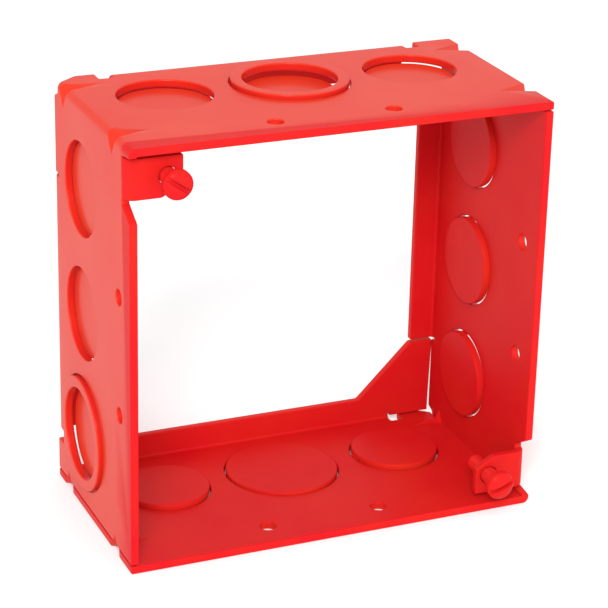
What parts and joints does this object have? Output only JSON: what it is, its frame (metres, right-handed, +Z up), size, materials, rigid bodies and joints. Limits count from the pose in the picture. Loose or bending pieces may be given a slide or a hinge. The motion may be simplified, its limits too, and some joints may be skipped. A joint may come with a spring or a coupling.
{
  "type": "square box extension ring",
  "caption": "Open square steel ring, painted red, that deepens a wiring box: bent walls with knockouts, folded ears with cover screws, and back lips with corner gussets.",
  "frame": {"origin": "bottom centre of the bounding box, under the bottom wall", "axes": "+Y from the open front rim to the back face, +Z up, +X to the right seen from the front"},
  "size_m": [0.1026, 0.0587, 0.1026],
  "materials": {
    "red_painted_sheet": "glossy red paint on steel sheet",
    "red_painted_slug": "glossy red paint on punched steel",
    "red_painted_screw": "red paint over plated steel"
  },
  "bodies": {
    "ring": {"upper_half": "red_painted_sheet", "lower_half": "red_painted_sheet"},
    "top_knockout_a": {"top_knockout_a": "red_painted_slug"},
    "top_knockout_b": {"top_knockout_b": "red_painted_slug"},
    "top_knockout_ring_b": {"top_knockout_ring_b": "red_painted_slug"},
    "top_knockout_c": {"top_knockout_c": "red_painted_slug"},
    "right_knockout_a": {"right_knockout_a": "red_painted_slug"},
    "right_knockout_b": {"right_knockout_b": "red_painted_slug"},
    "right_knockout_c": {"right_knockout_c": "red_painted_slug"},
    "bottom_knockout_a": {"bottom_knockout_a": "red_painted_slug"},
    "bottom_knockout_b": {"bottom_knockout_b": "red_painted_slug"},
    "bottom_knockout_c": {"bottom_knockout_c": "red_painted_slug"},
    "left_knockout_a": {"left_knockout_a": "red_painted_slug"},
    "left_knockout_ring_a": {"left_knockout_ring_a": "red_painted_slug"},
    "left_knockout_b": {"left_knockout_b": "red_painted_slug"},
    "left_knockout_c": {"left_knockout_c": "red_painted_slug"},
    "upper_cover_screw": {"upper_cover_screw": "red_painted_screw"},
    "lower_cover_screw": {"lower_cover_screw": "red_painted_screw"}
  },
  "joints": [
    {"name": "top_knockout_a_tie", "type": "hinge", "parent": "ring", "child": "top_knockout_a", "pos_m": [-0.0194, 0.00941, 0.0994], "axis": [0, -1, 0], "range_deg": [0, 90]},
    {"name": "top_knockout_b_tie", "type": "hinge", "parent": "ring", "child": "top_knockout_b", "pos_m": [-0.0111, 0.00941, 0.0994], "axis": [0, 1, 0], "range_deg": [0, 90]},
    {"name": "top_knockout_ring_b_tie", "type": "hinge", "parent": "ring", "child": "top_knockout_ring_b", "pos_m": [-0.0141, 0.00941, 0.1026], "axis": [0, -1, 0], "range_deg": [0, 90]},
    {"name": "top_knockout_c_tie", "type": "hinge", "parent": "ring", "child": "top_knockout_c", "pos_m": [0.0194, 0.00941, 0.0994], "axis": [0, 1, 0], "range_deg": [0, 90]},
    {"name": "right_knockout_a_tie", "type": "hinge", "parent": "ring", "child": "right_knockout_a", "pos_m": [0.0486, 0.00941, 0.0702], "axis": [0, -1, 0], "range_deg": [0, 90]},
    {"name": "right_knockout_b_tie", "type": "hinge", "parent": "ring", "child": "right_knockout_b", "pos_m": [0.0486, 0.00941, 0.0619], "axis": [0, 1, 0], "range_deg": [0, 90]},
    {"name": "right_knockout_c_tie", "type": "hinge", "parent": "ring", "child": "right_knockout_c", "pos_m": [0.0486, 0.00941, 0.0314], "axis": [0, 1, 0], "range_deg": [0, 90]},
    {"name": "bottom_knockout_a_tie", "type": "hinge", "parent": "ring", "child": "bottom_knockout_a", "pos_m": [0.0194, 0.00941, 0.0022], "axis": [0, -1, 0], "range_deg": [0, 90]},
    {"name": "bottom_knockout_b_tie", "type": "hinge", "parent": "ring", "child": "bottom_knockout_b", "pos_m": [0.0141, 0.00941, 0.0022], "axis": [0, 1, 0], "range_deg": [0, 90]},
    {"name": "bottom_knockout_c_tie", "type": "hinge", "parent": "ring", "child": "bottom_knockout_c", "pos_m": [-0.0194, 0.00941, 0.0022], "axis": [0, 1, 0], "range_deg": [0, 90]},
    {"name": "left_knockout_a_tie", "type": "hinge", "parent": "ring", "child": "left_knockout_a", "pos_m": [-0.0486, 0.00941, 0.0314], "axis": [0, -1, 0], "range_deg": [0, 90]},
    {"name": "left_knockout_ring_a_tie", "type": "hinge", "parent": "ring", "child": "left_knockout_ring_a", "pos_m": [-0.0518, 0.00941, 0.0344], "axis": [0, 1, 0], "range_deg": [0, 90]},
    {"name": "left_knockout_b_tie", "type": "hinge", "parent": "ring", "child": "left_knockout_b", "pos_m": [-0.0486, 0.00941, 0.0397], "axis": [0, 1, 0], "range_deg": [0, 90]},
    {"name": "left_knockout_c_tie", "type": "hinge", "parent": "ring", "child": "left_knockout_c", "pos_m": [-0.0486, 0.00941, 0.0702], "axis": [0, 1, 0], "range_deg": [0, 90]},
    {"name": "upper_cover_screw_travel", "type": "slide", "parent": "ring", "child": "upper_cover_screw", "axis": [0, -1, 0], "range_m": [-0.0044, 0.004]},
    {"name": "lower_cover_screw_travel", "type": "slide", "parent": "ring", "child": "lower_cover_screw", "axis": [0, -1, 0], "range_m": [-0.0044, 0.004]}
  ]
}
